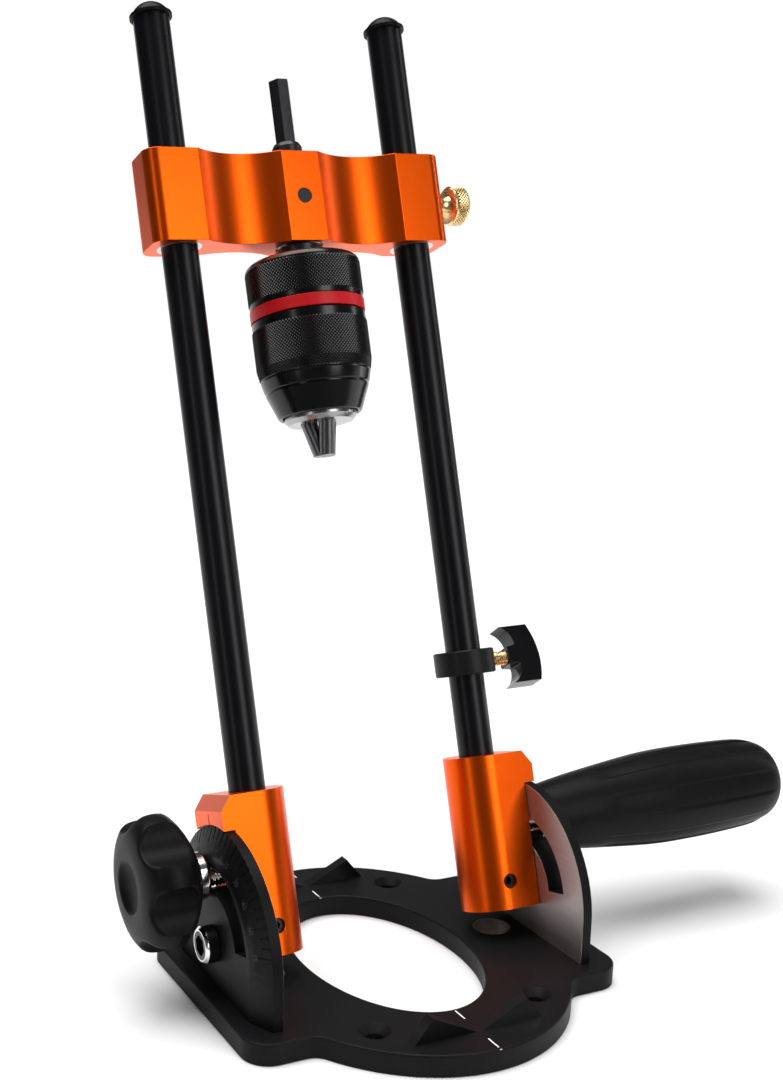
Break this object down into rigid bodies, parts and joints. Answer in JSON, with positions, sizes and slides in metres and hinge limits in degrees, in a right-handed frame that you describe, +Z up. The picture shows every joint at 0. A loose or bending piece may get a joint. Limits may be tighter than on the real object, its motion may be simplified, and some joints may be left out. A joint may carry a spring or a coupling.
{
  "type": "tilting portable drill guide",
  "caption": "Drill guide on an oval base: twin columns tilt between graduated quadrants, and a carriage with a keyless chuck slides on them to bore straight or angled holes.",
  "frame": {"origin": "centre of the base opening and of the four fixing holes, on the underside of the base", "axes": "+X along the tilt axis from the star knob to the side handle, +Y to the back, the way the columns lean at rest, +Z up from the base"},
  "size_m": [0.2507, 0.1712, 0.3092],
  "materials": {
    "base_coat": "satin black powder coat",
    "quadrant_coat": "satin black coat, inner face bare and brushed",
    "orange_anodised": "bead-blasted orange anodising",
    "column_black": "satin black oxide",
    "plastic_black": "fine-grained satin black",
    "collar_black": "matte black anodising",
    "zinc_steel": "bright zinc plate",
    "black_screw": "black oxide",
    "bush_steel": "bare turned steel",
    "bearing_steel": "polished",
    "spacer_aluminium": "turned",
    "brass": "turned and knurled",
    "spindle_black": "black oxide",
    "chuck_black": "gloss black with diamond knurl",
    "chuck_core": "bare turned steel",
    "band_red": "satin red",
    "jaw_steel": "dark ground steel"
  },
  "bodies": {
    "base": {"base_plate": "base_coat", "quadrant_screws": "black_screw", "right_quadrant": "quadrant_coat", "left_quadrant": "quadrant_coat", "right_pivot_bush": "bush_steel", "left_pivot_bush": "bush_steel"},
    "column_frame": {"right_tilt_block": "orange_anodised", "left_tilt_block": "orange_anodised", "right_pivot_screw": "black_screw", "left_pivot_screw": "black_screw", "right_column": "column_black", "left_column": "column_black", "right_column_cap": "plastic_black", "left_column_cap": "plastic_black", "column_set_screws": "black_screw"},
    "side_handle": {"side_handle_grip": "plastic_black", "side_handle_stud": "zinc_steel", "side_handle_washer": "zinc_steel"},
    "star_knob": {"star_knob_grip": "plastic_black", "star_knob_stud": "zinc_steel", "star_knob_washer": "zinc_steel"},
    "carriage": {"carriage_block": "orange_anodised", "left_column_bushes": "bush_steel", "right_column_bushes": "bush_steel", "lower_spindle_bearing": "bearing_steel", "upper_spindle_bearing": "bearing_steel", "bearing_spacer": "spacer_aluminium", "carriage_set_screw": "black_screw"},
    "thumb_screw": {"thumb_screw": "brass"},
    "spindle": {"spindle_shaft": "spindle_black", "spindle_collar": "spindle_black", "chuck_body": "chuck_core", "chuck_rear_sleeve": "chuck_black", "chuck_band": "band_red"},
    "chuck_sleeve": {"chuck_front_sleeve": "chuck_black", "chuck_nut": "bush_steel"},
    "jaw_1": {"chuck_jaw_1": "jaw_steel"},
    "jaw_2": {"chuck_jaw_2": "jaw_steel"},
    "jaw_3": {"chuck_jaw_3": "jaw_steel"},
    "depth_stop": {"stop_collar": "collar_black"},
    "stop_screw": {"stop_wing_knob": "plastic_black", "stop_screw_stud": "brass"}
  },
  "joints": [
    {"name": "tilt", "type": "hinge", "parent": "base", "child": "column_frame", "pos_m": [0, 0, 0.021], "axis": [-1, 0, 0], "range_deg": [-83, 47]},
    {"name": "side_handle_turn", "type": "hinge", "parent": "column_frame", "child": "side_handle", "pos_m": [0, 0.00668, 0.04154], "axis": [1, 0, 0], "range_deg": [0, 360]},
    {"name": "star_knob_turn", "type": "hinge", "parent": "column_frame", "child": "star_knob", "pos_m": [0, 0.00668, 0.04154], "axis": [-1, 0, 0], "range_deg": [0, 360]},
    {"name": "carriage_slide", "type": "slide", "parent": "column_frame", "child": "carriage", "axis": [0, 0.309, 0.9511], "range_m": [-0.115, 0.045]},
    {"name": "thumb_screw_turn", "type": "hinge", "parent": "carriage", "child": "thumb_screw", "pos_m": [0, 0.07324, 0.2464], "axis": [1, 0, 0], "range_deg": [0, 360]},
    {"name": "spindle_spin", "type": "hinge", "parent": "carriage", "child": "spindle", "pos_m": [0, 0.0618, 0.21121], "axis": [0, 0.309, 0.9511], "continuous": true},
    {"name": "chuck_sleeve_turn", "type": "hinge", "parent": "spindle", "child": "chuck_sleeve", "pos_m": [0, 0.05562, 0.19219], "axis": [0, 0.309, 0.9511], "range_deg": [0, 2880]},
    {"name": "jaw_1_slide", "type": "slide", "parent": "spindle", "child": "jaw_1", "axis": [0, 0.0523, 0.9986], "range_m": [0, 0.018]},
    {"name": "jaw_2_slide", "type": "slide", "parent": "spindle", "child": "jaw_2", "axis": [0.2241, 0.4216, 0.8787], "range_m": [0, 0.018]},
    {"name": "jaw_3_slide", "type": "slide", "parent": "spindle", "child": "jaw_3", "axis": [-0.2241, 0.4216, 0.8787], "range_m": [0, 0.018]},
    {"name": "stop_slide", "type": "slide", "parent": "column_frame", "child": "depth_stop", "axis": [0, 0.309, 0.9511], "range_m": [-0.027, 0.02]},
    {"name": "stop_screw_turn", "type": "hinge", "parent": "depth_stop", "child": "stop_screw", "pos_m": [0, 0.02404, 0.09499], "axis": [1, 0, 0], "range_deg": [0, 360]}
  ],
  "couplings": [
    {"joint": "jaw_1_slide", "follows": "chuck_sleeve_turn", "m_per_rad": 0.000358},
    {"joint": "jaw_2_slide", "follows": "chuck_sleeve_turn", "m_per_rad": 0.000358},
    {"joint": "jaw_3_slide", "follows": "chuck_sleeve_turn", "m_per_rad": 0.000358}
  ]
}
